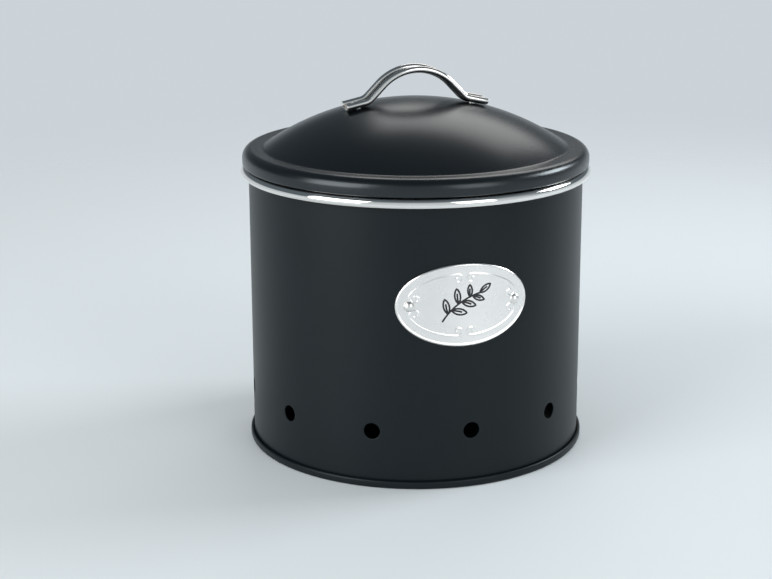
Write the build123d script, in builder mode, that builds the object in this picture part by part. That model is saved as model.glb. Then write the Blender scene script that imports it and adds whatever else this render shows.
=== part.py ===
from build123d import *
from math import asin, atan2, cos, degrees, radians, sin, sqrt, tan
import os

os.makedirs("parts", exist_ok=True)

# Millimetres, +Z up. The origin is the middle of the jar's underside, on the table.
# The label faces -Y and the handle runs along X.

# Clearances between pieces that fit, pieces that rest, and rivets in their holes
fit_gap = 0.15
seat_gap = 0.3
rivet_gap = 0.05

# Container wall: rolled sheet with a side seam inside, curled outwards along the top
wall_sheet = 0.8
wall_radius = 90.0
rim_top = 152.0
wall_curl_radius = 1.7
wall_curl_angle = 235.0
side_seam_width = 5.0
side_seam_thickness = 0.6

# Ventilation holes: one row round the foot of the wall
vent_count = 11
vent_diameter = 8.5
vent_height = 30.0
vent_phase = 2.8

# Rim ring: bright band closed over the wall's curl, with a leg inside the mouth
ring_sheet = 0.6
ring_curl_angle = 223.0
ring_leg = 4.6

# Base pan: raised panel, then a chime folded round the foot of the wall
base_sheet = 0.8
chime_height = 4.1
chime_corner = 0.8
panel_rise = 3.0
panel_corner = 1.2
panel_step = 0.9
panel_step_radius = 66.0
panel_step_run = 2.0

# Label plate: pressed oval, curved to the wall, with a beaded edge and a raised inner line
label_height = 96.8
label_half_width = 34.2
label_half_height = 21.3
label_sheet = 0.6
label_relief = 0.45
label_bead = 1.6
label_line_inset = 4.8
label_line = 0.9
label_rivet_inset = 7.0
label_rivet_head = 5.6
label_rivet_rise = 1.6
label_rivet_shank = 3.0
label_rivet_tail = 4.4
label_rivet_tail_rise = 1.0
label_rivet_clearing = 1.0

# Lid: dome, flat shelf round its foot, rounded shoulder and a hem curled inwards
lid_sheet = 0.8
lid_setback = 0.85
lid_skirt = 9.1
lid_shelf = 11.3
lid_shelf_rise = 0.4
dome_rise = 25.0
dome_bend = 3.0
shoulder_radius = 5.0
hem_radius = 1.0
hem_return = 3.0

# Lid collar: ring under the shelf that drops into the mouth
collar_sheet = 0.8
collar_play = 0.9
collar_drop = 13.5
collar_flange = 3.0
collar_bend = 1.0
collar_lead = 0.6
collar_lead_height = 2.5

# Handle: dished strap with a curl along each edge, bowed over the top of the dome
strap_sheet = 0.8
strap_width = 14.0
strap_roll = 3.4
strap_dish_angle = 20.0
strap_curl_angle = 262.0
handle_rise = 18.3
handle_crown_radius = 24.3
handle_flank_angle = 46.0
handle_bend_radius = 10.0
handle_foot = 7.0
handle_rivet_place = 31.5
handle_rivet_head = 5.4
handle_rivet_rise = 1.6
handle_rivet_shank = 4.0
handle_rivet_tail = 6.0
handle_rivet_tail_rise = 1.2
washer_diameter = 9.0
washer_thickness = 0.8

# Wall and ring: middle of each sheet
wall_inner = wall_radius - wall_sheet
wall_middle = wall_radius - wall_sheet / 2
curl_centre = wall_middle + wall_curl_radius
ring_radius = wall_curl_radius + wall_sheet / 2 + fit_gap + ring_sheet / 2
ring_outer = curl_centre + ring_radius + ring_sheet / 2
mouth_radius = curl_centre - ring_radius - ring_sheet / 2
curl_height = rim_top - ring_radius - ring_sheet / 2
ring_foot = curl_height - ring_leg

# Base pan: the chime holds the wall between its inner leg and its folded hook
chime_leg = wall_inner - fit_gap - base_sheet / 2
chime_hook = wall_radius + fit_gap + base_sheet / 2
chime_fold = base_sheet / 2 + fit_gap / 2
chime_side = chime_hook + 2 * chime_fold
chime_fold_height = chime_height - base_sheet / 2 - chime_fold
wall_foot = base_sheet + seat_gap
panel_height = panel_rise + base_sheet / 2

# Label plate: radii on the wall, and the angle of its rivets from the label's middle
label_inner = wall_radius + fit_gap
label_face = label_inner + label_sheet
label_crest = label_face + label_relief
label_half_angle = asin(label_half_width / label_face)
label_rivet_angle = (label_half_angle * label_face - label_rivet_inset) / label_face
label_tail_radius = sqrt(wall_inner**2 - (label_rivet_tail / 2) ** 2) - rivet_gap

# Lid: outer faces first, then the middle of the sheet
lid_radius = ring_outer - lid_setback
dome_foot = lid_radius - lid_shelf
dome_foot_height = rim_top + lid_skirt
dome_top = dome_foot_height + dome_rise
dome_radius = (dome_foot**2 + dome_rise**2) / (2 * dome_rise)
dome_centre = dome_top - dome_radius
dome_middle = dome_radius - lid_sheet / 2
shelf_height = dome_foot_height - lid_sheet / 2
shelf_start = sqrt(dome_middle**2 - (shelf_height - dome_centre) ** 2)
shelf_start_angle = degrees(atan2(shelf_height - dome_centre, shelf_start))
lid_side = lid_radius - lid_sheet / 2
hem_height = rim_top + seat_gap + lid_sheet / 2 + hem_radius
collar_radius = mouth_radius - collar_play - collar_sheet / 2
collar_top = shelf_height - lid_sheet / 2 - fit_gap - collar_sheet / 2
collar_foot = rim_top - collar_drop

# Handle section: curl centres beside and above the middle of the dished web
roll_radius = (strap_roll - strap_sheet) / 2
roll_side = (strap_width - strap_roll) / 2
dish_radius = roll_side / sin(radians(strap_dish_angle)) + roll_radius
roll_height = dish_radius - (dish_radius - roll_radius) * cos(radians(strap_dish_angle))

# Handle side view along the web: feet square to the dome, straight flanks, round crown
foot_angle = asin(handle_rivet_place / dome_radius)
foot_reach = dome_radius + fit_gap + strap_sheet / 2
foot_x = foot_reach * sin(foot_angle)
foot_z = dome_centre + foot_reach * cos(foot_angle)
flank_slope = tan(radians(handle_flank_angle))
crown_height = dome_top + handle_rise - roll_height - strap_roll / 2
apex_height = crown_height + handle_crown_radius * (1 / cos(radians(handle_flank_angle)) - 1)
knee_x = (apex_height - foot_z - foot_x * tan(foot_angle)) / (flank_slope - tan(foot_angle))
knee_z = apex_height - knee_x * flank_slope
end_x = foot_x + handle_foot * cos(foot_angle)
end_z = foot_z - handle_foot * sin(foot_angle)

# Handle rivets: distances from the dome's centre, along each rivet
web_face_radius = dish_radius - strap_sheet / 2
web_dish = web_face_radius - sqrt(web_face_radius**2 - (handle_rivet_head / 2) ** 2)
handle_head_reach = foot_reach + strap_sheet / 2 + web_dish + rivet_gap
washer_reach = sqrt((dome_radius - lid_sheet) ** 2 - (washer_diameter / 2) ** 2) - rivet_gap
handle_tail_reach = washer_reach - washer_thickness - rivet_gap

sides = {"left": -1, "right": 1}


def save(piece, name):
    piece.label = name
    export_step(piece, f"parts/{name}.step")


def label_rivet_plane(side, reach):
    """Plane at a label rivet, `reach` from the jar's axis, with local Y pointing outwards."""
    angle = side * label_rivet_angle
    place = (reach * sin(angle), -reach * cos(angle), label_height)
    return Plane(place, x_dir=(0, 0, 1), z_dir=(cos(angle), sin(angle), 0))


def handle_rivet_plane(side, reach):
    """Plane at a handle rivet, `reach` from the dome's centre, with local Y pointing out."""
    place = (side * reach * sin(foot_angle), 0, dome_centre + reach * cos(foot_angle))
    return Plane(place, x_dir=(0, 1, 0), z_dir=(cos(foot_angle), 0, -side * sin(foot_angle)))


def along(plane):
    """The same place with local Z pointing where the given plane's local Y points."""
    return Plane(plane.origin, x_dir=plane.x_dir, z_dir=plane.y_dir)


def rivet(plane, head, rise, shank, grip, tail, tail_rise):
    """Domed head standing on the plane's X axis, shank, and a formed tail `grip` below it."""
    head_sphere = ((head / 2) ** 2 + rise**2) / (2 * rise)
    head_start = degrees(asin((head_sphere - rise) / head_sphere))
    with BuildPart() as piece:
        with BuildSketch(plane):
            with BuildLine():
                CenterArc((0, rise - head_sphere), head_sphere, head_start, 90 - head_start)
                Polyline(
                    (head / 2, 0),
                    (shank / 2, 0),
                    (shank / 2, -grip),
                    (tail / 2, -grip),
                    (tail / 2, -grip - tail_rise / 2),
                    (tail / 2 - tail_rise / 2, -grip - tail_rise),
                    (0, -grip - tail_rise),
                    (0, rise),
                )
            make_face()
        revolve(axis=Axis(plane.origin, plane.y_dir))
    return piece.part


# Container wall
with BuildPart() as body_shell:
    with BuildSketch(Plane.XZ):
        with BuildLine():
            Line((wall_middle, wall_foot), (wall_middle, curl_height))
            CenterArc((curl_centre, curl_height), wall_curl_radius, 180, -wall_curl_angle)
        trace(line_width=wall_sheet)
    revolve(axis=Axis.Z)

    # Side seam, inside and opposite a vent, between the chime and the ring's leg
    seam_foot = panel_height + base_sheet + seat_gap
    with BuildSketch(Plane.XY.offset(seam_foot)):
        Circle(wall_middle)
        Circle(wall_inner - side_seam_thickness, mode=Mode.SUBTRACT)
        Rectangle(
            wall_radius,
            side_seam_width,
            rotation=vent_phase + 90,
            align=(Align.MIN, Align.CENTER),
            mode=Mode.INTERSECT,
        )
    extrude(amount=ring_foot - seat_gap - seam_foot)

    with Locations((0, 0, vent_height)):
        with PolarLocations(wall_radius, vent_count, start_angle=vent_phase - 90):
            Cylinder(
                vent_diameter / 2, 6 * wall_sheet, rotation=(0, 90, 0), mode=Mode.SUBTRACT
            )

    for side in sides.values():
        with Locations(along(label_rivet_plane(side, wall_middle))):
            Cylinder(
                label_rivet_shank / 2 + rivet_gap, 4 * wall_sheet, mode=Mode.SUBTRACT
            )

save(body_shell.part, "body_shell")

# Base pan
with BuildPart() as base_pan:
    with BuildSketch(Plane.XZ):
        with BuildLine():
            FilletPolyline(
                (0, panel_height + panel_step),
                (panel_step_radius, panel_height + panel_step),
                (panel_step_radius + panel_step_run, panel_height),
                (chime_leg, panel_height),
                (chime_leg, base_sheet / 2),
                (chime_side, base_sheet / 2),
                (chime_side, chime_fold_height),
                radius=[panel_corner, panel_corner, panel_corner, chime_corner, chime_corner],
            )
            CenterArc((chime_hook + chime_fold, chime_fold_height), chime_fold, 0, 180)
            Line((chime_hook, chime_fold_height), (chime_hook, wall_foot))
        trace(line_width=base_sheet)
    revolve(axis=Axis.Z)

save(base_pan.part, "base_pan")

# Rim ring
with BuildPart() as rim_ring:
    with BuildSketch(Plane.XZ):
        with BuildLine():
            Line((curl_centre - ring_radius, ring_foot), (curl_centre - ring_radius, curl_height))
            CenterArc((curl_centre, curl_height), ring_radius, 180, -ring_curl_angle)
        trace(line_width=ring_sheet)
    revolve(axis=Axis.Z)

save(rim_ring.part, "rim_ring")

# Field of the label, inside its bead, on both sides of the raised line and round the rivets
with BuildPart() as label_field:
    with BuildSketch(Plane.XZ):
        with Locations((0, label_height)):
            Ellipse(label_half_width - label_bead, label_half_height - label_bead)
            Ellipse(
                label_half_width - label_line_inset,
                label_half_height - label_line_inset,
                mode=Mode.SUBTRACT,
            )
            Ellipse(
                label_half_width - label_line_inset - label_line,
                label_half_height - label_line_inset - label_line,
            )
        for side in sides.values():
            with Locations((side * label_face * sin(label_rivet_angle), label_height)):
                Circle(label_rivet_head / 2 + label_rivet_clearing)
    extrude(amount=label_crest + label_relief)
    with Locations((0, 0, label_height)):
        Cylinder(label_face, 4 * label_half_height, mode=Mode.SUBTRACT)

# Label plate
with BuildPart() as label_plate:
    with BuildSketch(Plane.XZ):
        with Locations((0, label_height)):
            Ellipse(label_half_width, label_half_height)
    extrude(amount=label_crest + label_relief)
    with Locations((0, 0, label_height)):
        Cylinder(label_crest, 4 * label_half_height, mode=Mode.INTERSECT)
        Cylinder(label_inner, 4 * label_half_height, mode=Mode.SUBTRACT)
    add(label_field.part, mode=Mode.SUBTRACT)
    for side in sides.values():
        with Locations(along(label_rivet_plane(side, label_face))):
            Cylinder(
                label_rivet_shank / 2 + rivet_gap, 4 * label_sheet, mode=Mode.SUBTRACT
            )

save(label_plate.part, "label_plate")

# Label rivets
for name, side in sides.items():
    label_rivet = rivet(
        label_rivet_plane(side, label_face + rivet_gap),
        label_rivet_head,
        label_rivet_rise,
        label_rivet_shank,
        label_face + rivet_gap - label_tail_radius,
        label_rivet_tail,
        label_rivet_tail_rise,
    )
    save(label_rivet, f"label_rivet_{name}")

# Lid
with BuildPart() as lid_shell:
    with BuildSketch(Plane.XZ):
        with BuildLine() as lid_line:
            dome = CenterArc(
                (0, dome_centre), dome_middle, shelf_start_angle, 90 - shelf_start_angle
            )
            FilletPolyline(
                (shelf_start, shelf_height),
                (lid_side, shelf_height + lid_shelf_rise),
                (lid_side, hem_height),
                radius=[shoulder_radius - lid_sheet / 2],
            )
            CenterArc((lid_side - hem_radius, hem_height), hem_radius, 0, -180)
            hem_edge = lid_side - 2 * hem_radius
            Line((hem_edge, hem_height), (hem_edge, hem_height + hem_return))
            fillet(lid_line.vertices().sort_by_distance(dome @ 0)[0], dome_bend)
        trace(line_width=lid_sheet)
    revolve(axis=Axis.Z)
    for side in sides.values():
        with Locations(along(handle_rivet_plane(side, dome_middle))):
            Cylinder(
                handle_rivet_shank / 2 + rivet_gap, 4 * lid_sheet, mode=Mode.SUBTRACT
            )

save(lid_shell.part, "lid_shell")

# Lid collar
with BuildPart() as lid_collar:
    with BuildSketch(Plane.XZ):
        with BuildLine():
            FilletPolyline(
                (collar_radius - collar_flange, collar_top),
                (collar_radius, collar_top),
                (collar_radius, collar_foot + collar_lead_height),
                (collar_radius - collar_lead, collar_foot),
                radius=[collar_bend, collar_lead_height],
            )
        trace(line_width=collar_sheet)
    revolve(axis=Axis.Z)

save(lid_collar.part, "lid_collar")

# Handle strap
with BuildPart() as handle_strap:
    with BuildLine(Plane.XZ) as strap_path:
        FilletPolyline(
            (-end_x, end_z),
            (-knee_x, knee_z),
            (0, apex_height),
            (knee_x, knee_z),
            (end_x, end_z),
            radius=[handle_bend_radius, handle_crown_radius, handle_bend_radius],
        )
    with BuildSketch(Plane(strap_path.line @ 0, x_dir=(0, 1, 0), z_dir=strap_path.line % 0)):
        with BuildLine():
            CenterArc((0, dish_radius), dish_radius, -90 - strap_dish_angle, 2 * strap_dish_angle)
            for side in sides.values():
                CenterArc(
                    (side * roll_side, roll_height),
                    roll_radius,
                    side * strap_dish_angle - 90,
                    side * strap_curl_angle,
                )
        trace(line_width=strap_sheet)
    sweep()
    for side in sides.values():
        with Locations(along(handle_rivet_plane(side, foot_reach))):
            Cylinder(
                handle_rivet_shank / 2 + rivet_gap, 4 * strap_sheet, mode=Mode.SUBTRACT
            )

save(handle_strap.part, "handle_strap")

# Handle rivets, each with a washer under the dome
for name, side in sides.items():
    handle_rivet = rivet(
        handle_rivet_plane(side, handle_head_reach),
        handle_rivet_head,
        handle_rivet_rise,
        handle_rivet_shank,
        handle_head_reach - handle_tail_reach,
        handle_rivet_tail,
        handle_rivet_tail_rise,
    )
    save(handle_rivet, f"handle_rivet_{name}")

    with BuildPart() as handle_washer:
        with BuildSketch(along(handle_rivet_plane(side, washer_reach))):
            Circle(washer_diameter / 2)
            Circle(handle_rivet_shank / 2 + rivet_gap, mode=Mode.SUBTRACT)
        extrude(amount=-washer_thickness)
    save(handle_washer.part, f"handle_washer_{name}")
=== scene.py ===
from math import asin, atan2, cos, hypot, pi, radians, sin, sqrt, tan

import bpy
import numpy as np
from bpy.props import FloatProperty, FloatVectorProperty, IntProperty, PointerProperty
from mathutils import Matrix, Vector


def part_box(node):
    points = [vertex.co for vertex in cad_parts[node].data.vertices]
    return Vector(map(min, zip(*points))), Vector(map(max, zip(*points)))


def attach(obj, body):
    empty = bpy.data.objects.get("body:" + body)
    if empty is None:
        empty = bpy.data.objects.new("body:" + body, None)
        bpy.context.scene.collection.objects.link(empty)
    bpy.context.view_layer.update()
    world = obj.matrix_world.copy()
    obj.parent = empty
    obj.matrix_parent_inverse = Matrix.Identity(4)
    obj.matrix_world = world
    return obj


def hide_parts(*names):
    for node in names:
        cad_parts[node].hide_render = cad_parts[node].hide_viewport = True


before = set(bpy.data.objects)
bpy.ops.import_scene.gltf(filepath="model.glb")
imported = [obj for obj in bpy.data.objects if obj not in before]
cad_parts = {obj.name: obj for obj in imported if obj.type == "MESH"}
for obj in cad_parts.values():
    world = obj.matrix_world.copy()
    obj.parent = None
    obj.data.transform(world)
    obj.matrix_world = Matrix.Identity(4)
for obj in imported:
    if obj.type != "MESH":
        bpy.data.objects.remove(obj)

bl_info = {
    "name": "Storage Jar",
    "version": (1, 0, 0),
    "blender": (4, 5, 0),
    "location": "3D View > Sidebar > Jar",
    "description": "Models a storage jar with a lift-off lid round its construction frame",
    "category": "Object",
}

MM = 0.001
MERGE = 0.001 * MM  # Points of one drawing that meet
NEAR = 0.01 * MM  # For picking and joining the points of a grid
TURN_STEPS = 256  # Round a full turn of the jar
SHARP = radians(50)  # Edges that turn more than this are eased
SIDES = {"left": -1, "right": 1}


# Sizes and colours

def length(name, description, default):
    """A length property in metres."""
    return FloatProperty(name=name, description=description, default=default, unit="LENGTH")


def angle(name, description, default):
    """An angle property, its default given in degrees."""
    return FloatProperty(
        name=name, description=description, default=radians(default), subtype="ANGLE"
    )


def colour(name, description, default):
    """A linear colour property."""
    return FloatVectorProperty(
        name=name, description=description, default=default, subtype="COLOR", size=3
    )


class JarContainerSizes(bpy.types.PropertyGroup):
    """The wall with its air holes, the base pan and the ring."""

    clearance: length("Clearance", "Between pressed pieces that fit", 0.15 * MM)
    wall_radius: length("Wall Radius", "Outer face of the wall", 90 * MM)
    wall_sheet: length("Wall Sheet", "Thickness of the wall", 0.8 * MM)
    wall_curl: length("Wall Curl", "Radius of the curl along the wall's top", 1.7 * MM)
    seam_width: length("Seam Width", "Folded layers of the lock seam", 5 * MM)
    seam_depth: length("Seam Depth", "How far the seam stands inside the wall", 0.6 * MM)
    vent_count: IntProperty(name="Vents", description="Air holes in the row", default=11)
    vent_radius: length("Vent Radius", "Half an air hole", 4.25 * MM)
    vent_height: length("Vent Height", "Middle of the air holes", 30 * MM)
    vent_square: length("Vent Square", "Half the square modelled round a hole", 7 * MM)
    vent_phase: angle("Vent Phase", "First air hole from the label's middle", 2.8)
    ring_sheet: length("Ring Sheet", "Thickness of the ring", 0.6 * MM)
    ring_curl: angle("Ring Curl", "How far the ring wraps the wall's curl", 223)
    base_sheet: length("Base Sheet", "Thickness of the base pan", 0.8 * MM)
    chime_height: length("Chime Height", "Folded seam at the foot of the wall", 4.1 * MM)
    chime_corner: length("Chime Corner", "Bend at the foot of the chime", 0.8 * MM)
    panel_rise: length("Panel Rise", "Base panel above the chime's underside", 3 * MM)
    panel_corner: length("Panel Corner", "Bend between panel and chime", 1.2 * MM)
    panel_step: length("Panel Step", "Step pressed in the base panel", 0.9 * MM)
    panel_step_radius: length("Step Radius", "Inner edge of the panel's step", 66 * MM)
    panel_step_run: length("Step Run", "Width of the panel's step", 2 * MM)


class JarLabelSizes(bpy.types.PropertyGroup):
    """The pressed label plate, its scrolls and its drawn sprig."""

    height: length("Height", "Middle of the label above the table", 96.8 * MM)
    half_width: length("Half Width", "Along the wall", 35.1 * MM)
    half_height: length("Half Height", "Up the wall", 21.3 * MM)
    sheet: length("Sheet", "Thickness of the plate", 0.6 * MM)
    pitch: length("Pitch", "Spacing of the modelled rings", 0.3 * MM)
    bead_width: length("Bead Width", "Rounded edge of the plate", 1.5 * MM)
    bead_rise: length("Bead Rise", "Height of the rounded edge", 0.5 * MM)
    scroll_inset: length("Scroll Inset", "From the plate's edge to the scroll lines", 5.3 * MM)
    scroll_width: length("Scroll Width", "Width of a raised line", 1.5 * MM)
    scroll_rise: length("Scroll Rise", "Height of a raised line", 0.28 * MM)
    knob_width: length("Knob Width", "Knob in the middle of a volute", 2.2 * MM)
    knob_rise: length("Knob Rise", "Height of a knob", 0.448 * MM)
    rivet_inset: length("Rivet Inset", "From the plate's tip to its rivet", 7 * MM)
    rivet_radius: length("Rivet Radius", "Half a rivet head", 2.8 * MM)
    rivet_rise: length("Rivet Rise", "Height of a rivet head", 1.6 * MM)
    rivet_shank: length("Rivet Shank", "Half a rivet's shank", 1.5 * MM)
    rivet_tail: length("Rivet Tail", "Half a rivet's formed tail", 2.2 * MM)
    rivet_tail_rise: length("Rivet Tail Rise", "Height of a formed tail", 1 * MM)
    ink_width: length("Ink Width", "Stroke of the marker", 0.95 * MM)


class JarLidSizes(bpy.types.PropertyGroup):
    """The domed lid and its collar."""

    sheet: length("Sheet", "Thickness of lid and collar", 0.8 * MM)
    shelf: length("Shelf", "From the lid's edge to the foot of the dome", 11.3 * MM)
    shelf_rise: length("Shelf Rise", "How much the shelf climbs outwards", 0.4 * MM)
    dome_rise: length("Dome Rise", "Dome above the shelf", 25 * MM)
    dome_bend: length("Dome Bend", "Bend at the foot of the dome", 3 * MM)
    shoulder: length("Shoulder", "Rounding from shelf to skirt", 5 * MM)
    hem_radius: length("Hem Radius", "Curl at the foot of the skirt", 1 * MM)
    hem_return: length("Hem Return", "Straight end of the hem", 3 * MM)
    collar_flange: length("Collar Flange", "Part welded under the shelf", 3 * MM)
    collar_bend: length("Collar Bend", "Bend under the shelf", 1 * MM)
    collar_lead: length("Collar Lead", "How far the collar's foot leans in", 0.6 * MM)
    collar_lead_height: length("Lead Height", "Height of the leaning foot", 2.5 * MM)


class JarHandleSizes(bpy.types.PropertyGroup):
    """The rolled strap handle and its rivets."""

    sheet: length("Sheet", "Thickness of the strap", 0.8 * MM)
    width: length("Width", "Over both rolled edges", 14 * MM)
    roll: length("Roll", "Outer diameter of a rolled edge", 3.4 * MM)
    dish: angle("Dish", "Half the sweep of the dished web", 20)
    curl: angle("Curl", "Sweep of a rolled edge", 262)
    crown: length("Crown", "Radius of the handle's top", 24.3 * MM)
    flank: angle("Flank", "Slope of the handle's sides", 46)
    bend: length("Bend", "Radius where a flank meets its foot", 10 * MM)
    foot: length("Foot", "Strap past the rivet", 7 * MM)
    rivet_place: length("Rivet Place", "From the jar's axis to a rivet", 31.5 * MM)
    rivet_radius: length("Rivet Radius", "Half a rivet head", 2.7 * MM)
    rivet_rise: length("Rivet Rise", "Height of a rivet head", 1.6 * MM)
    rivet_shank: length("Rivet Shank", "Half a rivet's shank", 2 * MM)
    rivet_tail: length("Rivet Tail", "Half a rivet's formed tail", 3 * MM)
    rivet_tail_rise: length("Rivet Tail Rise", "Height of a formed tail", 1.2 * MM)
    rivet_seat: length("Rivet Seat", "Rivet head above the dished web", 0.28 * MM)
    washer: length("Washer", "Washer between the lid and a rivet's tail", 1 * MM)


class JarFinish(bpy.types.PropertyGroup):
    """Colours of the jar and its stage, all linear."""

    body_coat: colour("Body Coat", "Powder coat on wall and base", (0.0036, 0.0072, 0.0094))
    lid_coat: colour("Lid Coat", "Satin coat on the lid", (0.0025, 0.004, 0.0052))
    bright_metal: colour("Bright Metal", "Ring, strap and rivets", (0.88, 0.86, 0.83))
    label_metal: colour("Label Metal", "Plated label", (0.95, 0.925, 0.9))
    washer_metal: colour("Washer Metal", "Zinc plate under the lid", (0.55, 0.56, 0.57))
    ink: colour("Ink", "Marker on the label", (0.004, 0.004, 0.005))
    floor: colour("Floor", "Pale table", (0.685, 0.735, 0.76))
    backdrop: colour("Backdrop", "Pale surround", (0.6, 0.65, 0.69))


# Modelling tools

def deselect_all():
    """Leaves every object unselected."""
    bpy.ops.object.select_all(action="DESELECT")


def mode(name):
    """Goes to EDIT or OBJECT mode."""
    bpy.ops.object.mode_set(mode=name)


def weld(threshold=MERGE):
    """In edit mode, merges doubles and points the faces outwards."""
    bpy.ops.mesh.select_all(action="SELECT")
    bpy.ops.mesh.remove_doubles(threshold=threshold)
    bpy.ops.mesh.normals_make_consistent(inside=False)


def grow_edges(step=(0, 0, 0)):
    """In edit mode, extrudes the selected edges by a step."""
    bpy.ops.mesh.extrude_edges_move(TRANSFORM_OT_translate={"value": step})


def stretch(factors, centre=(0, 0, 0)):
    """In edit mode, scales the selection about a place."""
    bpy.ops.transform.resize(value=factors, center_override=centre)


class Pen:
    """A drawn profile: one vertex extruded along lines and spun round arcs.

    On "XZ" the drawing's right is +X, on "YZ" it is +Y, and up is +Z. Angles turn from
    right to up.
    """

    AXES = {"XZ": (0, 1, 0), "YZ": (-1, 0, 0)}

    def __init__(self, name, across, up, plane="XZ"):
        self.plane, self.at = plane, Vector((across, up))
        deselect_all()
        bpy.ops.mesh.primitive_plane_add(size=MM, location=self.place(self.at))
        self.piece = bpy.context.object
        self.piece.name = self.piece.data.name = name
        mode("EDIT")
        bpy.ops.mesh.select_mode(type="VERT")
        bpy.ops.mesh.merge(type="CENTER")

    def place(self, point):
        """Where a point of the drawing lies in the scene."""
        across, up = point
        return Vector((across, 0, up) if self.plane == "XZ" else (0, across, up))

    def line(self, across, up):
        """Goes straight to a point."""
        end = Vector((across, up))
        step = self.place(end) - self.place(self.at)
        bpy.ops.mesh.extrude_vertices_move(TRANSFORM_OT_translate={"value": step})
        self.at = end

    def arc(self, centre, sweep, steps):
        """Goes round `centre` by `sweep` radians."""
        centre = Vector(centre)
        bpy.ops.mesh.spin(
            steps=steps, angle=sweep, center=self.place(centre), axis=self.AXES[self.plane]
        )
        self.at = centre + Matrix.Rotation(sweep, 2) @ (self.at - centre)

    def corner(self, corner, then, radius, steps=6):
        """Draws to a rounded corner and round it, ready to go on towards `then`."""
        corner, then = Vector(corner), Vector(then)
        arriving, leaving = (corner - self.at).normalized(), (then - corner).normalized()
        turn = abs(arriving.angle_signed(leaving))
        side = 1 if arriving.cross(leaving) > 0 else -1
        inwards = Vector((-arriving.y, arriving.x)) * side
        start = corner - arriving * radius * tan(turn / 2)
        self.line(*start)
        self.arc(start + inwards * radius, side * turn, steps)

    def turn(self, steps=TURN_STEPS):
        """Turns the drawing into a round piece about the jar's axis."""
        bpy.ops.mesh.select_all(action="SELECT")
        bpy.ops.mesh.spin(steps=steps, angle=2 * pi, center=(0, 0, 0), axis=(0, 0, 1))
        return self.close()

    def close(self):
        """Merges doubles, points the faces outwards and leaves edit mode."""
        weld()
        mode("OBJECT")
        settle(self.piece)
        return self.piece


def pick(piece):
    """Makes one piece the only selected and active object."""
    deselect_all()
    piece.select_set(True)
    bpy.context.view_layer.objects.active = piece


def settle(piece):
    """Puts the piece's place into its mesh."""
    pick(piece)
    bpy.ops.object.transform_apply(location=True, rotation=True, scale=True)


def modify(piece, kind, **settings):
    """Adds a modifier, sets it and applies it."""
    pick(piece)
    modifier = piece.modifiers.new(kind.title(), kind)
    for key, value in settings.items():
        setattr(modifier, key, value)
    bpy.ops.object.modifier_apply(modifier=modifier.name)


def thicken(piece, sheet, offset=0.0):
    """Gives a sheet its thickness."""
    modify(piece, "SOLIDIFY", thickness=sheet, offset=offset, use_even_offset=True)


def ease(piece, width, segments=2):
    """Breaks the sharp edges of a piece."""
    modify(
        piece, "BEVEL", width=width, segments=segments, limit_method="ANGLE", angle_limit=SHARP
    )


def smooth(piece, limit):
    """Smooth shading that keeps the edges that turn more than `limit` degrees."""
    pick(piece)
    bpy.ops.object.shade_smooth_by_angle(angle=radians(limit))


def press(piece, sheet, edge=0.15 * MM, limit=40, segments=2):
    """Makes sheet metal of a bare surface: thickness, eased edges and smooth shading."""
    thicken(piece, sheet)
    ease(piece, edge, segments)
    smooth(piece, limit)


def select_by(piece, kind, test):
    """In edit mode, selects the vertices, edges or faces that pass a test on their middle."""
    bpy.ops.mesh.select_mode(type=kind)
    bpy.ops.mesh.select_all(action="DESELECT")
    mode("OBJECT")
    mesh = piece.data
    if kind == "VERT":
        for vertex in mesh.vertices:
            vertex.select = test(vertex.co)
    elif kind == "EDGE":
        for edge in mesh.edges:
            a, b = (mesh.vertices[i].co for i in edge.vertices)
            edge.select = test((a + b) / 2)
    else:
        for face in mesh.polygons:
            face.select = test(face.center)
    mode("EDIT")


def wrap(piece, radius):
    """Bends a flat piece on the XZ plane round the jar's axis, its middle at the front."""
    across = [vertex.co.x for vertex in piece.data.vertices]
    turn = (max(across) - min(across)) / radius
    modify(piece, "SIMPLE_DEFORM", deform_method="BEND", deform_axis="Z", angle=turn)
    piece.location.y = -radius
    settle(piece)


def dress(piece, body, slot_name, coat=None):
    """Gives a finished piece its material and its body."""
    piece.data.materials.clear()
    piece.data.materials.append(materials()[coat or slot_name])
    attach(piece, body)


# Materials

def plug(tree, node, inputs):
    """Fills a node's inputs: sockets are linked, anything else is set as a constant."""
    for key, value in inputs.items():
        socket = node.inputs[key]
        if isinstance(value, bpy.types.NodeSocket):
            tree.links.new(value, socket)
        elif socket.type == "RGBA":
            socket.default_value = (*value, 1)
        else:
            socket.default_value = value


def add_node(tree, kind, inputs=None, **settings):
    """Adds a node, sets it and fills its inputs."""
    node = tree.nodes.new(f"ShaderNode{kind}")
    for key, value in settings.items():
        setattr(node, key, value)
    plug(tree, node, inputs or {})
    return node


def ease_in(tree, value, start, end):
    """Rises smoothly from 0 to 1 as a value goes from start to end."""
    ranges = {"Value": value, "From Min": start, "From Max": end}
    return add_node(tree, "MapRange", ranges, interpolation_type="SMOOTHSTEP").outputs["Result"]


def mix_colours(tree, factor, first, second):
    """Goes from one colour to another as the factor goes from 0 to 1."""
    tones = {"Factor": factor, "A": first, "B": second}
    return add_node(tree, "Mix", tones, data_type="RGBA").outputs["Result"]


def mix_shaders(tree, factor, first, second):
    """Goes from one shader to another as the factor goes from 0 to 1."""
    return add_node(tree, "MixShader", {"Fac": factor, 1: first, 2: second}).outputs["Shader"]


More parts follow.
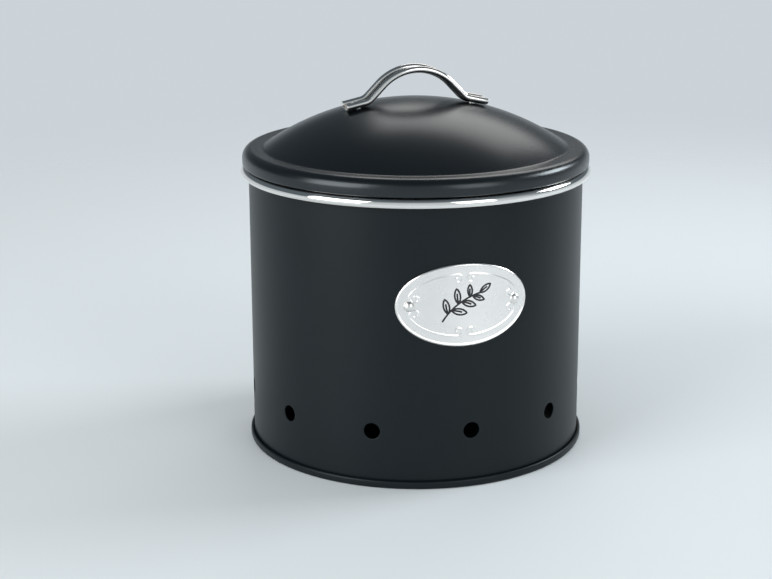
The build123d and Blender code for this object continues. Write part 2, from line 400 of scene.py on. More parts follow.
class Recipe:
    """A Principled material on Object coordinates, with small builders for its nodes."""

    def __init__(self, name, base, metallic, roughness):
        self.material = bpy.data.materials.new(name)
        self.material.use_nodes = True
        self.tree = self.material.node_tree
        self.surface = self.tree.nodes["Principled BSDF"]
        self.set({"Base Color": base, "Metallic": metallic, "Roughness": roughness})
        self.place = add_node(self.tree, "TexCoord").outputs["Object"]
        self.bump_so_far = None

    def set(self, inputs):
        """Fills inputs of the Principled shader."""
        plug(self.tree, self.surface, inputs)

    def noise(self, grain, detail):
        """Noise whose blotches are about `grain` metres wide."""
        pattern = {"Vector": self.place, "Scale": 1 / grain, "Detail": detail}
        return add_node(self.tree, "TexNoise", pattern).outputs["Fac"]

    def between(self, factor, low, high):
        """Maps the middle of a noise pattern to a range of values."""
        ranges = {"Value": factor, "From Min": 0.2, "From Max": 0.8, "To Min": low, "To Max": high}
        return add_node(self.tree, "MapRange", ranges).outputs["Result"]

    def tint(self, factor, first, second):
        """Varies the base colour between two tones."""
        factor = self.between(factor, 0, 1)
        self.set({"Base Color": mix_colours(self.tree, factor, first, second)})

    def vary_roughness(self, factor, middle, spread):
        """Varies the roughness by `spread` to both sides of its middle."""
        self.set({"Roughness": self.between(factor, middle - spread, middle + spread)})

    def bump(self, factor, strength, depth):
        """Adds a fine unevenness `depth` metres deep to those so far."""
        relief = {"Height": factor, "Strength": strength, "Distance": depth}
        if self.bump_so_far:
            relief["Normal"] = self.bump_so_far
        self.bump_so_far = add_node(self.tree, "Bump", relief).outputs["Normal"]
        self.set({"Normal": self.bump_so_far})


def shade(tone, share):
    """The tone made lighter or darker by a share."""
    return tuple(channel * share for channel in tone)


def powder_coat(name, base, roughness, gloss, sheen, grain_depth, ripple_depth):
    """Black coat: fine grain, slow ripples and uneven sheen from handling."""
    recipe = Recipe(name, base, metallic=0, roughness=roughness)
    recipe.set({"Specular IOR Level": gloss, "Specular Tint": sheen})
    recipe.tint(recipe.noise(40 * MM, 2), shade(base, 0.9), shade(base, 1.1))
    recipe.vary_roughness(recipe.noise(70 * MM, 2), roughness, 0.012)
    recipe.bump(recipe.noise(0.7 * MM, 2), strength=0.25, depth=grain_depth)
    recipe.bump(recipe.noise(6 * MM, 1), strength=0.2, depth=ripple_depth)
    return recipe.material


def bright_metal(name, base, roughness, spread):
    """Polished metal with faint handling marks."""
    recipe = Recipe(name, base, metallic=1, roughness=roughness)
    recipe.tint(recipe.noise(12 * MM, 2), shade(base, 0.96), base)
    recipe.vary_roughness(recipe.noise(9 * MM, 4), roughness, spread)
    recipe.bump(recipe.noise(1.2 * MM, 3), strength=0.08, depth=0.02 * MM)
    return recipe.material


def marker_ink(name, base):
    """Dried marker ink, a little uneven along its strokes."""
    recipe = Recipe(name, base, metallic=0, roughness=0.435)
    recipe.tint(recipe.noise(0.8 * MM, 2), base, shade(base, 2.5))
    recipe.vary_roughness(recipe.noise(1.5 * MM, 2), 0.435, 0.115)
    return recipe.material


MATERIALS = {}


def materials():
    """The jar's materials, made once."""
    if not MATERIALS:
        finish = bpy.context.scene.jar_finish
        bright, zinc = finish.bright_metal, finish.washer_metal
        MATERIALS.update(
            body_coat=powder_coat(
                "body_powder", finish.body_coat, roughness=0.38, gloss=0.235, sheen=(1, 1, 1),
                grain_depth=0.03 * MM, ripple_depth=0.03 * MM,
            ),
            lid_coat=powder_coat(
                "lid_satin", finish.lid_coat, roughness=0.27, gloss=0.58, sheen=(0.86, 0.95, 1),
                grain_depth=0.008 * MM, ripple_depth=0.002 * MM,
            ),
            bright_ring=bright_metal("ring_plating", bright, 0.07, 0.02),
            bright_strap=bright_metal("strap_plating", shade(bright, 0.88), 0.13, 0.02),
            label_metal=bright_metal("label_plating", finish.label_metal, 0.27, 0.015),
            rivet_metal=bright_metal("rivet_plating", bright, 0.3, 0.03),
            washer_metal=bright_metal("washer_zinc", zinc, 0.35, 0.06),
            marker_ink=marker_ink("marker_ink", finish.ink),
        )
    return MATERIALS


# Container

def ring_centre(sizes):
    """Middle of the curl along the rim, and the radius of the ring's sheet round it."""
    reach = sizes.wall_curl + sizes.wall_sheet / 2 + sizes.clearance + sizes.ring_sheet / 2
    across = sizes.wall_radius - sizes.wall_sheet / 2 + sizes.wall_curl
    return Vector((across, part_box("rim_ring")[1].z - reach - sizes.ring_sheet / 2)), reach


class JAR_OT_container_wall(bpy.types.Operator):
    """Model the wall: one panel with an air hole, repeated, bent round and seamed"""

    bl_idname = "jar.container_wall"
    bl_label = "Container Wall"

    def execute(self, context):
        sizes = context.scene.jar_container
        panel = 2 * pi * sizes.wall_radius / sizes.vent_count
        curl_middle, _ = ring_centre(sizes)
        seam_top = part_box("rim_ring")[0].z - 2 * sizes.clearance
        seam_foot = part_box("base_pan")[1].z + 2 * sizes.clearance

        # The hole and a ring round it, its outer loop pressed square
        square, lip_share = sizes.vent_square, 1.2
        deselect_all()
        middle = (0, 0, sizes.vent_height)
        bpy.ops.mesh.primitive_circle_add(
            vertices=32, radius=sizes.vent_radius, location=middle, rotation=(pi / 2, 0, 0)
        )
        wall = context.object
        wall.name = wall.data.name = "container_wall"
        settle(wall)
        mode("EDIT")
        for wider in (lip_share, sqrt(2) * square / (lip_share * sizes.vent_radius)):
            grow_edges()
            stretch((wider, 1, wider), middle)
        for side in SIDES.values():
            select_by(wall, "VERT", lambda co: side * co.x > square - NEAR)
            stretch((0, 1, 1), (side * square, 0, 0))
            edge = sizes.vent_height + side * square
            select_by(wall, "VERT", lambda co: side * (co.z - edge) > -NEAR)
            stretch((1, 1, 0), (0, 0, edge))

        def extend(axis, stops):
            """Extrudes the panel's edges from each stop on an axis to the next."""
            for here, there in zip(stops, stops[1:]):
                select_by(wall, "EDGE", lambda co: abs(co[axis] - here) < NEAR)
                step = Vector((0, 0, 0))
                step[axis] = there - here
                grow_edges(step)

        # The rest of the panel, out to its neighbours, up to the curl and down to the foot
        side_steps = 8
        spread = (panel / 2 - square) / side_steps
        for side in SIDES.values():
            extend(0, [side * (square + spread * step) for step in range(side_steps + 1)])
        low, high = sizes.vent_height - square, sizes.vent_height + square
        foot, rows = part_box("body_shell")[0].z, [75 * MM, 98 * MM, 121 * MM]
        extend(2, [high, high + 12 * MM, *rows, seam_top, curl_middle.y])
        extend(2, [low, low - 9 * MM, seam_foot, foot])
        mode("OBJECT")

        # All panels side by side, bent into the round and closed at the back
        modify(
            wall,
            "ARRAY",
            count=sizes.vent_count,
            use_relative_offset=False,
            use_constant_offset=True,
            constant_offset_displace=(panel, 0, 0),
            use_merge_vertices=True,
            merge_threshold=NEAR,
        )
        wall.location.x = -(sizes.vent_count - 1) / 2 * panel
        settle(wall)
        middle_radius = sizes.wall_radius - sizes.wall_sheet / 2
        wrap(wall, sizes.wall_radius)
        inset = middle_radius / sizes.wall_radius
        wall.scale = (inset, inset, 1)
        wall.rotation_euler.z = sizes.vent_phase
        settle(wall)
        mode("EDIT")
        weld(NEAR)

        # The curl along the top, rolled outwards
        radius, top = middle_radius, curl_middle.y
        curl, steps = radians(200), 8
        select_by(wall, "EDGE", lambda co: co.z > top - NEAR)
        for step in range(1, steps + 1):
            turned = pi - curl * step / steps
            wider = curl_middle.x + sizes.wall_curl * cos(turned)
            level = curl_middle.y + sizes.wall_curl * sin(turned)
            grow_edges((0, 0, level - top))
            stretch((wider / radius, wider / radius, 1), (0, 0, level))
            radius, top = wider, level
        mode("OBJECT")
        thicken(wall, sizes.wall_sheet)

        # The lock seam's layers, pulled inwards between chime and ring
        seam_way = Vector((-sin(sizes.vent_phase), cos(sizes.vent_phase), 0))
        mode("EDIT")
        select_by(
            wall,
            "FACE",
            lambda co: co.dot(seam_way) > 0
            and abs(co.cross(seam_way).z) < sizes.seam_width / 2
            and hypot(co.x, co.y) < middle_radius
            and seam_foot < co.z < seam_top,
        )
        inwards = -seam_way * sizes.seam_depth
        bpy.ops.mesh.extrude_region_move(TRANSFORM_OT_translate={"value": inwards})
        mode("OBJECT")
        ease(wall, 0.16 * MM)
        smooth(wall, 30)
        dress(wall, "container", "body_coat")
        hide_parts("body_shell")
        return {"FINISHED"}


class JAR_OT_base_pan(bpy.types.Operator):
    """Model the base pan with its stepped panel and folded chime"""

    bl_idname = "jar.base_pan"
    bl_label = "Base Pan"

    def execute(self, context):
        sizes = context.scene.jar_container
        half = sizes.base_sheet / 2
        panel = sizes.panel_rise + half
        leg = sizes.wall_radius - sizes.wall_sheet - sizes.clearance - half
        hook = sizes.wall_radius + sizes.clearance + half
        fold = half + sizes.clearance / 2
        side = hook + 2 * fold
        fold_height = sizes.chime_height - half - fold
        raised = panel + sizes.panel_step
        step = sizes.panel_step_radius

        pen = Pen("base_pan_pressing", 0, raised)
        for share in (0.25, 0.5, 0.75):
            pen.line(step * share, raised)
        step_foot = step + sizes.panel_step_run
        pen.corner((step, raised), (step_foot, panel), sizes.panel_corner)
        pen.corner((step_foot, panel), (leg, panel), sizes.panel_corner)
        pen.corner((leg, panel), (leg, half), sizes.panel_corner)
        pen.corner((leg, half), (side, half), sizes.chime_corner)
        pen.corner((side, half), (side, fold_height), sizes.chime_corner)
        pen.line(side, fold_height)
        pen.arc((hook + fold, fold_height), pi, 8)
        pen.line(hook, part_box("body_shell")[0].z)
        pan = pen.turn()
        press(pan, sizes.base_sheet)
        dress(pan, "container", "body_coat")
        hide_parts("base_pan")
        return {"FINISHED"}


class JAR_OT_rim_ring(bpy.types.Operator):
    """Model the bright ring closed over the wall's curl"""

    bl_idname = "jar.rim_ring"
    bl_label = "Rim Ring"

    def execute(self, context):
        sizes = context.scene.jar_container
        centre, reach = ring_centre(sizes)
        pen = Pen("rim_ring_band", centre.x - reach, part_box("rim_ring")[0].z)
        pen.line(centre.x - reach, centre.y)
        pen.arc(centre, -sizes.ring_curl, 36)
        ring = pen.turn()
        press(ring, sizes.ring_sheet, edge=0.2 * MM, limit=50, segments=3)
        dress(ring, "container", "bright_ring")
        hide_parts("rim_ring")
        return {"FINISHED"}


# Label

def label_face(scene):
    """Radius of the label's outer face."""
    container = scene.jar_container
    return container.wall_radius + container.clearance + scene.jar_label.sheet


def stroke(start, heading, legs):
    """Points of a line that starts at a place and heading and follows (radius, turn) legs."""
    points, spacing = [Vector(start)], 0.25 * MM
    for radius, turn in legs:
        long = abs(radius * turn)
        steps = max(4, int(long / spacing))
        for _ in range(steps):
            heading += turn / steps
            points.append(points[-1] + Vector((cos(heading), sin(heading))) * long / steps)
    return points


def scroll_lines(sizes):
    """The four scrolls of the frame, each a piece of an oval with a volute at both ends."""
    wide, high = sizes.half_width - sizes.scroll_inset, sizes.half_height - sizes.scroll_inset
    turns = np.radians(np.linspace(24, 83, 61))
    arc = [Vector((wide * cos(turn), high * sin(turn))) for turn in turns]
    volute = [(2.9 * MM, radians(95)), (2.1 * MM, radians(110)), (1.35 * MM, radians(110))]
    top_volute = [(2.2 * MM, radians(105)), (1.7 * MM, radians(110)), (1.1 * MM, radians(90))]
    side_way = arc[0] - arc[1]
    top_way = arc[-1] - arc[-2]
    inwards = [(radius, -turn) for radius, turn in volute]
    side = stroke(arc[0], atan2(side_way.y, side_way.x), inwards)
    top = stroke(arc[-1], atan2(top_way.y, top_way.x), top_volute)
    return arc, side, top


def relief_map(sizes, places):
    """Height of the pressing above the plate's field at each place, in metres."""
    height = np.zeros(len(places))
    across, up = np.abs(places[:, 0]), np.abs(places[:, 1])

    def raise_to(amount):
        np.maximum(height, amount, out=height)

    def hump(distance, width, rise):
        share = np.clip(np.abs(distance) / (width / 2), 0, 1)
        return rise * (0.5 + 0.5 * np.cos(pi * share))

    def line_distance(points):
        best = np.full(len(places), 1.0)
        for a, b in zip(points, points[1:]):
            way = b - a
            along = ((across - a.x) * way.x + (up - a.y) * way.y) / way.length_squared
            along = np.clip(along, 0, 1)
            gap = np.hypot(across - a.x - along * way.x, up - a.y - along * way.y)
            np.minimum(best, gap, out=best)
        return best

    # How far each place lies in from the plate's edge, found by halving
    halvings, least = 30, 1e-9
    low, high = np.zeros(len(places)), np.full(len(places), sizes.half_height)
    for _ in range(halvings):
        inset = (low + high) / 2
        wide = sizes.half_width - inset
        tall = np.maximum(sizes.half_height - inset, least)
        inside = (across / wide) ** 2 + (up / tall) ** 2 < 1
        low, high = np.where(inside, inset, low), np.where(inside, high, inset)

    # The bead, steeper on its inner flank but nowhere below the field
    raise_to(hump(inset - sizes.bead_width / 2, sizes.bead_width, sizes.bead_rise))
    height -= hump(inset - sizes.bead_width, sizes.bead_width / 2, sizes.bead_rise / 5)
    raise_to(0)

    # The scrolls, with a knob in each volute
    arc, side, top = scroll_lines(sizes)
    for points in (arc, side, top):
        raise_to(hump(line_distance(points), sizes.scroll_width, sizes.scroll_rise))
    for end in (side[-1], top[-1]):
        gap = np.hypot(across - end.x, up - end.y)
        raise_to(hump(gap, sizes.knob_width, sizes.knob_rise))
    return height


class JAR_OT_label_plate(bpy.types.Operator):
    """Model the oval plate with its pressed bead and scrolls"""

    bl_idname = "jar.label_plate"
    bl_label = "Label Plate"

    def execute(self, context):
        sizes = context.scene.jar_label
        face = label_face(context.scene)
        deselect_all()
        bpy.ops.mesh.primitive_circle_add(
            vertices=480, radius=1, location=(0, 0, 0), rotation=(pi / 2, 0, 0)
        )
        plate = context.object
        plate.name = plate.data.name = "label_pressing"
        wide, high = sizes.half_width, sizes.half_height
        plate.scale = (wide, high, 1)
        settle(plate)
        mode("EDIT")
        rings = int(high / sizes.pitch)
        for ring in range(rings):
            last = ring == rings - 1
            next_wide, next_high = wide - sizes.pitch, 0 if last else high - sizes.pitch
            grow_edges()
            stretch((next_wide / wide, 1, next_high / high))
            wide, high = next_wide, next_high
        weld(NEAR)
        mode("OBJECT")

        # The pressing, from a vertex group that holds each point's share of its height
        places = np.array([(vertex.co.x, vertex.co.z) for vertex in plate.data.vertices])
        heights = relief_map(sizes, places)
        rise = float(heights.max())
        pressing = plate.vertex_groups.new(name="pressing")
        for index, height in enumerate(heights):
            pressing.add([index], float(height) / rise, "REPLACE")
        modify(
            plate, "DISPLACE", direction="Y", mid_level=0, strength=-rise, vertex_group="pressing"
        )
        plate.vertex_groups.clear()
        front_first = plate.data.polygons[0].normal.y
        wrap(plate, face)
        plate.location.z = sizes.height
        settle(plate)
        thicken(plate, sizes.sheet, -1 if front_first < 0 else 1)
        ease(plate, 0.12 * MM)
        smooth(plate, 50)
        dress(plate, "container", "label_metal")
        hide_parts("label_plate")
        return {"FINISHED"}


class JAR_OT_label_sprig(bpy.types.Operator):
    """Draw the sprig of leaves in marker on the label"""

    bl_idname = "jar.label_sprig"
    bl_label = "Label Sprig"

    def execute(self, context):
        sizes = context.scene.jar_label
        face = label_face(context.scene)
        stem_foot, stem_top = Vector((-11.5, -8.2)) * MM, Vector((8, 5.8)) * MM
        stem_bulge, vein_bulge, vein_share = radians(46), radians(16), 0.68
        pen = Pen("label_sprig", *stem_foot)

        def bow(tip, bulge, steps=12):
            """An arc from the pen to the tip that bulges by an angle to its left."""
            chord = tip - pen.at
            reach = chord.length / (2 * sin(bulge / 2))
            away = Vector((chord.y, -chord.x)).normalized()
            centre = pen.at + chord / 2 + away * reach * cos(bulge / 2)
            pen.arc(centre, -bulge, steps)

        def lift(place):
            """Starts a new stroke at a place."""
            step = pen.place(place) - pen.place(pen.at)
            bpy.ops.mesh.duplicate_move(TRANSFORM_OT_translate={"value": step})
            pen.at = Vector(place)

        def leaf(root, way, long, bulge):
            """Two bows from root to tip and back, with a vein."""
            tip = root + Vector((cos(way), sin(way))) * long
            vein = root + (tip - root) * vein_share
            lift(root)
            bow(tip, bulge)
            bow(root, bulge)
            bow(vein, vein_bulge, 4)

        # Each leaf's share of the stem, direction in degrees, length in mm and bulge in degrees
        leaves = (
            (0.2, 104, 8.0, 82),
            (0.3, -12, 8.2, 82),
            (0.5, 98, 8.0, 80),
            (0.58, -18, 7.8, 80),
            (0.78, 92, 6.4, 80),
            (0.84, -22, 6.6, 80),
            (1.0, 36, 7.0, 84),
        )
        bow(stem_top, stem_bulge, 20)
        chord = stem_top - stem_foot
        side = Vector((-chord.y, chord.x)).normalized()
        for share, way, long, bulge in leaves:
            off = sin(pi * share) * chord.length * tan(stem_bulge / 4) / 2
            root = stem_foot + chord * share + side * off
            leaf(root, radians(way), long * MM, radians(bulge))
        mode("OBJECT")
        sprig = pen.piece
        settle(sprig)
        context.view_layer.update()
        bpy.ops.object.convert(target="CURVE")
        sprig.data.bevel_depth = sizes.ink_width / 2
        sprig.data.bevel_resolution = 2
        sprig.data.use_fill_caps = True
        context.view_layer.update()
        bpy.ops.object.convert(target="MESH")
        sprig.name = sprig.data.name = "label_sprig"
        flatness = 0.1
        sprig.scale = (1, flatness, 1)
        settle(sprig)
        wrap(sprig, face)
        sprig.location.z = sizes.height
        settle(sprig)
        smooth(sprig, 60)
        dress(sprig, "container", "label_metal", "marker_ink")
        return {"FINISHED"}


def round_rivet(name, sizes, grip, seat, outwards):
    """A domed head that faces outwards from its seat, its shank and a formed tail."""
    radius, rise, shank = sizes.rivet_radius, sizes.rivet_rise, sizes.rivet_shank
    tail, tail_rise = sizes.rivet_tail, sizes.rivet_tail_rise
    sphere = (radius**2 + rise**2) / (2 * rise)
    lip, dome_share = 0.25 * MM, 0.97
    pen = Pen(name, 0, rise)
    pen.arc((0, rise - sphere), -asin(radius / sphere) * dome_share, 14)
    pen.arc((pen.at.x - lip, pen.at.y), -pi / 2, 4)
    pen.line(shank, 0)
    pen.line(shank, -grip)
    pen.line(tail, -grip)
    pen.line(tail, -grip - tail_rise / 2)
    pen.arc((tail - tail_rise / 2, -grip - tail_rise / 2), -pi / 2, 4)
    pen.line(0, -grip - tail_rise)
    rivet = pen.turn(48)
    smooth(rivet, 40)
    rivet.rotation_mode = "QUATERNION"
    rivet.rotation_quaternion = outwards.to_track_quat("Z", "Y")
    rivet.location = seat
    settle(rivet)
    return rivet


class JAR_OT_label_rivets(bpy.types.Operator):
    """Model the label's two round rivets"""

    bl_idname = "jar.label_rivets"
    bl_label = "Label Rivets"

    def execute(self, context):
        sizes = context.scene.jar_label
        face = label_face(context.scene)
        container = context.scene.jar_container
        turned = (sizes.half_width - sizes.rivet_inset) / face
        play = 0.1 * MM
        grip = face - container.wall_radius + container.wall_sheet + play
        middle = Vector((0, 0, sizes.height))
        for name, side in SIDES.items():
            outwards = Vector((side * sin(turned), -cos(turned), 0))
            seat = outwards * face + middle
            rivet = round_rivet(f"label_rivet_head_{name}", sizes, grip, seat, outwards)
            dress(rivet, "container", "rivet_metal")
            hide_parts(f"label_rivet_{name}")
        return {"FINISHED"}


# Lid

def dome_of(sizes):
    """Radius of the dome's outer face and the height of its centre."""
    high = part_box("lid_shell")[1]
    foot = high.x - sizes.shelf
    radius = (foot**2 + sizes.dome_rise**2) / (2 * sizes.dome_rise)
    return radius, high.z - radius


class JAR_OT_lid_shell(bpy.types.Operator):
    """Model the lid: dome, shelf, rounded shoulder, skirt and hem"""

    bl_idname = "jar.lid_shell"
    bl_label = "Lid Shell"

    def execute(self, context):
        sizes = context.scene.jar_lid
        low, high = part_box("lid_shell")
        half = sizes.sheet / 2
        dome, centre = dome_of(sizes)
        dome -= half
        shelf = high.z - sizes.dome_rise - half
        side = high.x - half
        start = sqrt(dome**2 - (shelf - centre) ** 2)
        slope = sizes.shelf_rise / (side - start)
        hem_height = low.z + half + sizes.hem_radius

        # The bend at the foot of the dome touches both the dome and the sloping shelf
        bend = sizes.dome_bend
        square = 1 + slope**2
        level = shelf - slope * start + bend * sqrt(square) - centre
        bend_x = (sqrt(square * (dome + bend) ** 2 - level**2) - slope * level) / square
        bend_at = Vector((bend_x, centre + slope * bend_x + level))
        dome_sweep = asin(bend_at.x / (dome + bend))
        shelf_angle = atan2(slope, 1)

        pen = Pen("lid_pressing", 0, centre + dome)
        pen.arc((0, centre), -dome_sweep, 56)
        pen.arc(bend_at, dome_sweep + shelf_angle, 10)
        corner = Vector((side, shelf + slope * (side - start)))
        pen.corner(corner, (side, low.z), sizes.shoulder - half, 14)
        pen.line(side, hem_height)
        pen.arc((side - sizes.hem_radius, hem_height), -pi, 12)
        pen.line(side - 2 * sizes.hem_radius, hem_height + sizes.hem_return)
        lid = pen.turn()
        press(lid, sizes.sheet)
        dress(lid, "lid", "lid_coat")
        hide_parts("lid_shell")
        return {"FINISHED"}


class JAR_OT_lid_collar(bpy.types.Operator):
    """Model the collar that centres the lid in the mouth"""

    bl_idname = "jar.lid_collar"
    bl_label = "Lid Collar"

    def execute(self, context):
        sizes = context.scene.jar_lid
        low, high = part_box("lid_collar")
        half = sizes.sheet / 2
        side, top, foot = high.x - half, high.z - half, low.z
        pen = Pen("lid_collar_ring", side - sizes.collar_flange, top)
        pen.corner((side, top), (side, foot), sizes.collar_bend)
        pen.line(side, foot + sizes.collar_lead_height)
        pen.line(side - sizes.collar_lead, foot + half / 4)
        collar = pen.turn()
        press(collar, sizes.sheet)
        dress(collar, "lid", "lid_coat")
        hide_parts("lid_collar")
        return {"FINISHED"}


# Handle

class JAR_OT_handle_strap(bpy.types.Operator):
    """Model the strap: its rolled section swept over the crown and down to both feet"""

    bl_idname = "jar.handle_strap"
    bl_label = "Handle Strap"

    def execute(self, context):
        sizes = context.scene.jar_handle
        container = context.scene.jar_container
        dome, dome_centre = dome_of(context.scene.jar_lid)
        roll = (sizes.roll - sizes.sheet) / 2
        roll_side = (sizes.width - sizes.roll) / 2
        dish = roll_side / sin(sizes.dish) + roll
        roll_up = dish - (dish - roll) * cos(sizes.dish)
        crown_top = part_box("handle_strap")[1].z - roll_up - sizes.roll / 2

        # The section at the crown, from the end of one curl to the end of the other
        left = Vector((-roll_side, crown_top + roll_up))
        begin = -pi / 2 - sizes.dish - sizes.curl
        start = left + Vector((cos(begin), sin(begin))) * roll
        pen = Pen("handle_strap_rolled", *start, plane="YZ")
        pen.arc(left, sizes.curl, 22)
        pen.arc((0, crown_top + dish), 2 * sizes.dish, 12)
        pen.arc((roll_side, crown_top + roll_up), sizes.curl, 22)

        # Half the handle: crown, flank, bend and foot
        slope = asin(sizes.rivet_place / dome)
        foot_reach = dome + container.clearance + sizes.sheet / 2
        foot = Vector((foot_reach * sin(slope), dome_centre + foot_reach * cos(slope)))
        down = Vector((cos(sizes.flank), -sin(sizes.flank)))
        along = Vector((cos(slope), -sin(slope)))
        crown_centre = Vector((0, crown_top - sizes.crown))
        crown_end = crown_centre + Vector((sin(sizes.flank), cos(sizes.flank))) * sizes.crown
        gap = foot - crown_end
        run = gap.cross(along) / down.cross(along)
        knee = crown_end + down * run
        setback = sizes.bend * tan((sizes.flank - slope) / 2)
        bend_start = knee - down * setback
        bend_centre = bend_start + Vector((-down.y, down.x)) * sizes.bend
        end = foot + along * sizes.foot

        def sweep(centre, turn, steps):
            bpy.ops.mesh.spin(
                steps=steps, angle=turn, center=(centre.x, 0, centre.y), axis=(0, 1, 0)
            )

        def slide(start, stop):
            grow_edges((stop.x - start.x, 0, stop.y - start.y))

        bpy.ops.mesh.select_all(action="SELECT")
        sweep(crown_centre, -sizes.flank, 28)
        slide(crown_end, bend_start)
        sweep(bend_centre, sizes.flank - slope, 14)
        slide(knee + along * setback, end)
        strap = pen.close()
        modify(strap, "MIRROR", use_axis=(True, False, False), merge_threshold=MERGE)
        mode("EDIT")
        weld()
        mode("OBJECT")
        press(strap, sizes.sheet, edge=0.18 * MM, limit=45, segments=3)
        dress(strap, "lid", "bright_strap")
        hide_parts("handle_strap")
        return {"FINISHED"}


class JAR_OT_handle_rivets(bpy.types.Operator):
    """Model the handle's rivets and give the washers under the dome their finish"""

    bl_idname = "jar.handle_rivets"
    bl_label = "Handle Rivets"

    def execute(self, context):
        sizes = context.scene.jar_handle
        container = context.scene.jar_container
        dome, dome_centre = dome_of(context.scene.jar_lid)
        slope = asin(sizes.rivet_place / dome)
        head = dome + container.clearance + sizes.sheet + sizes.rivet_seat
        grip = head - (dome - context.scene.jar_lid.sheet - sizes.washer)
        middle = Vector((0, 0, dome_centre))
        for name, side in SIDES.items():
            outwards = Vector((side * sin(slope), 0, cos(slope)))
            seat = outwards * head + middle
            rivet = round_rivet(f"handle_rivet_head_{name}", sizes, grip, seat, outwards)
            dress(rivet, "lid", "rivet_metal")
            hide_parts(f"handle_rivet_{name}")
            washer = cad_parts[f"handle_washer_{name}"]
            washer.material_slots[0].material = materials()["washer_metal"]
        return {"FINISHED"}


# Stage

def softbox(name, around, above, away, size, power, tone=(1, 1, 1)):
    """A rectangular soft light aimed at the jar, its size in metres and power in watts.

    It stands `around` degrees to the right of the front, `above` degrees up and `away` metres
    from a place in the upper half of the jar.
    """
    aim = Vector((0, 0, 0.12))
    lamp = bpy.data.lights.new(name, "AREA")
    lamp.shape = "RECTANGLE"
    lamp.size, lamp.size_y = size
    lamp.energy = power
    lamp.color = tone
    holder = bpy.data.objects.new(name, lamp)
    bpy.context.scene.collection.objects.link(holder)
    turned, raised = radians(around), radians(above)
    way = Vector((sin(turned) * cos(raised), -cos(turned) * cos(raised), sin(raised)))
    holder.location = aim + way * away
    holder.rotation_mode = "QUATERNION"
    holder.rotation_quaternion = way.to_track_quat("Z", "Y")


def studio_world(pale):
    """Even fill light, a room that is palest in front in reflections, and a pale backdrop."""
    world = bpy.data.worlds.new("studio")
    bpy.context.scene.world = world
    world.use_nodes = True
    tree = world.node_tree
    way = add_node(tree, "TexCoord").outputs["Generated"]
    axes = add_node(tree, "SeparateXYZ", {"Vector": way}).outputs

    def background(tone, strength=1.0):
        return add_node(tree, "Background", {"Color": tone, "Strength": strength}).outputs[0]

    def blend(axis, start, end, first, second):
        """Goes from one tone to another along an axis of the surroundings."""
        return mix_colours(tree, ease_in(tree, axes[axis], start, end), first, second)

    bright, dim = (0.58, 0.63, 0.66), (0.1, 0.125, 0.145)
    front = blend("Z", 0.3, 0.9, bright, dim)
    walls = blend("Y", 0.1, -0.9, dim, front)
    room = background(blend("Z", -0.02, 0.22, pale, walls))
    fill = background((0.96, 0.985, 1.0), 0.53)

    path = add_node(tree, "LightPath").outputs
    bounces = {0: path["Is Glossy Ray"], 1: path["Is Transmission Ray"]}
    mirrored = add_node(tree, "Math", bounces, operation="MAXIMUM").outputs["Value"]
    around = mix_shaders(tree, mirrored, fill, room)
    seen = mix_shaders(tree, path["Is Camera Ray"], around, background(pale))
    plug(tree, tree.nodes["World Output"], {"Surface": seen})


def pale_table(tone):
    """The table's material, which fades into the backdrop away from the jar."""
    recipe = Recipe("pale_table", tone, metallic=0, roughness=0.5)
    recipe.tint(recipe.noise(400 * MM, 2), shade(tone, 0.985), tone)
    recipe.set({"Specular IOR Level": 0.05})
    tree, solid = recipe.tree, recipe.surface.outputs["BSDF"]
    distance = add_node(tree, "VectorMath", {0: recipe.place}, operation="LENGTH")
    fade = ease_in(tree, distance.outputs["Value"], start=0.3, end=1.1)
    clear = add_node(tree, "BsdfTransparent").outputs["BSDF"]
    shown = mix_shaders(tree, fade, solid, clear)
    plug(tree, tree.nodes["Material Output"], {"Surface": shown})
    return recipe.material


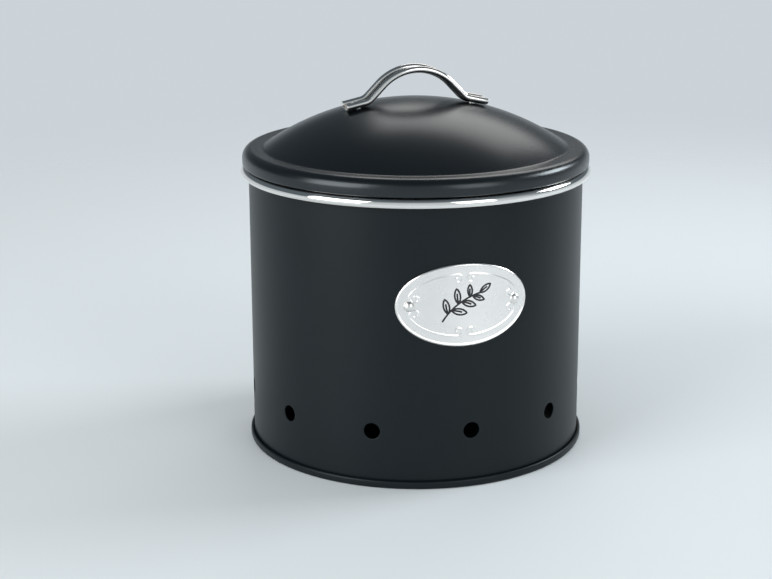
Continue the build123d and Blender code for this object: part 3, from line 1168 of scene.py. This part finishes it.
class JAR_OT_stage(bpy.types.Operator):
    """Set the pale table, the soft lights and the camera"""

    bl_idname = "jar.stage"
    bl_label = "Stage"

    def execute(self, context):
        finish = context.scene.jar_finish
        deselect_all()
        table_radius = 1.4
        bpy.ops.mesh.primitive_circle_add(
            vertices=128, radius=table_radius, fill_type="NGON", location=(0, 0, 0)
        )
        table = context.object
        table.name = table.data.name = "table"
        table.data.materials.append(pale_table(finish.floor))

        cool, warm = (0.92, 0.97, 1), (1, 0.97, 0.94)
        softbox("key", -68, 19, 2.2, (1.47, 1.69), 36)
        softbox("front_right", 23, 20, 1.9, (0.85, 1.3), 7.5)
        softbox("window", 95, 29, 1.7, (0.72, 0.48), 14, cool)
        softbox("back", 153, 38, 1.9, (1.15, 0.85), 6.6, warm)
        studio_world(finish.backdrop)

        # The camera of the photograph: distance and height in wall radii, angles in degrees
        unit = context.scene.jar_container.wall_radius
        around, away, up = radians(-15.73), 9.75 * unit, 3.67 * unit
        yaw, pitch, roll = radians(1.05), radians(14.32), radians(-0.22)
        focal_pixels, frame_pixels, sensor = 1654, 772, 36
        data = bpy.data.cameras.new("camera")
        camera = bpy.data.objects.new("camera", data)
        context.scene.collection.objects.link(camera)
        context.scene.camera = camera
        data.sensor_width = sensor
        data.lens = focal_pixels / frame_pixels * sensor
        data.shift_y = -0.06
        turn = Matrix.Rotation(around + yaw, 4, "Z") @ Matrix.Rotation(pi / 2 - pitch, 4, "X")
        place = Matrix.Translation((away * sin(around), -away * cos(around), up))
        camera.matrix_world = place @ turn @ Matrix.Rotation(roll, 4, "Z")
        context.scene.view_settings.view_transform = "Standard"
        return {"FINISHED"}


# Add-on

OPERATORS = (
    JAR_OT_container_wall,
    JAR_OT_base_pan,
    JAR_OT_rim_ring,
    JAR_OT_label_plate,
    JAR_OT_label_sprig,
    JAR_OT_label_rivets,
    JAR_OT_lid_shell,
    JAR_OT_lid_collar,
    JAR_OT_handle_strap,
    JAR_OT_handle_rivets,
    JAR_OT_stage,
)

GROUPS = {
    "jar_container": JarContainerSizes,
    "jar_label": JarLabelSizes,
    "jar_lid": JarLidSizes,
    "jar_handle": JarHandleSizes,
    "jar_finish": JarFinish,
}


class JAR_PT_panel(bpy.types.Panel):
    """The jar's sizes, colours and steps"""

    bl_idname = "JAR_PT_panel"
    bl_label = "Storage Jar"
    bl_space_type = "VIEW_3D"
    bl_region_type = "UI"
    bl_category = "Jar"

    def draw(self, context):
        layout = self.layout
        for operator in OPERATORS:
            layout.operator(operator.bl_idname)
        for name in GROUPS:
            box = layout.box()
            group = getattr(context.scene, name)
            for key in group.__annotations__:
                box.prop(group, key)


CLASSES = (*GROUPS.values(), *OPERATORS, JAR_PT_panel)


def register():
    for kind in CLASSES:
        bpy.utils.register_class(kind)
    for name, group in GROUPS.items():
        setattr(bpy.types.Scene, name, PointerProperty(type=group))


def unregister():
    for name in GROUPS:
        delattr(bpy.types.Scene, name)
    for kind in reversed(CLASSES):
        bpy.utils.unregister_class(kind)


def main():
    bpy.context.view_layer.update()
    register()
    for operator in OPERATORS:
        section, name = operator.bl_idname.split(".")
        getattr(getattr(bpy.ops, section), name)()


if __name__ == "__main__":
    main()
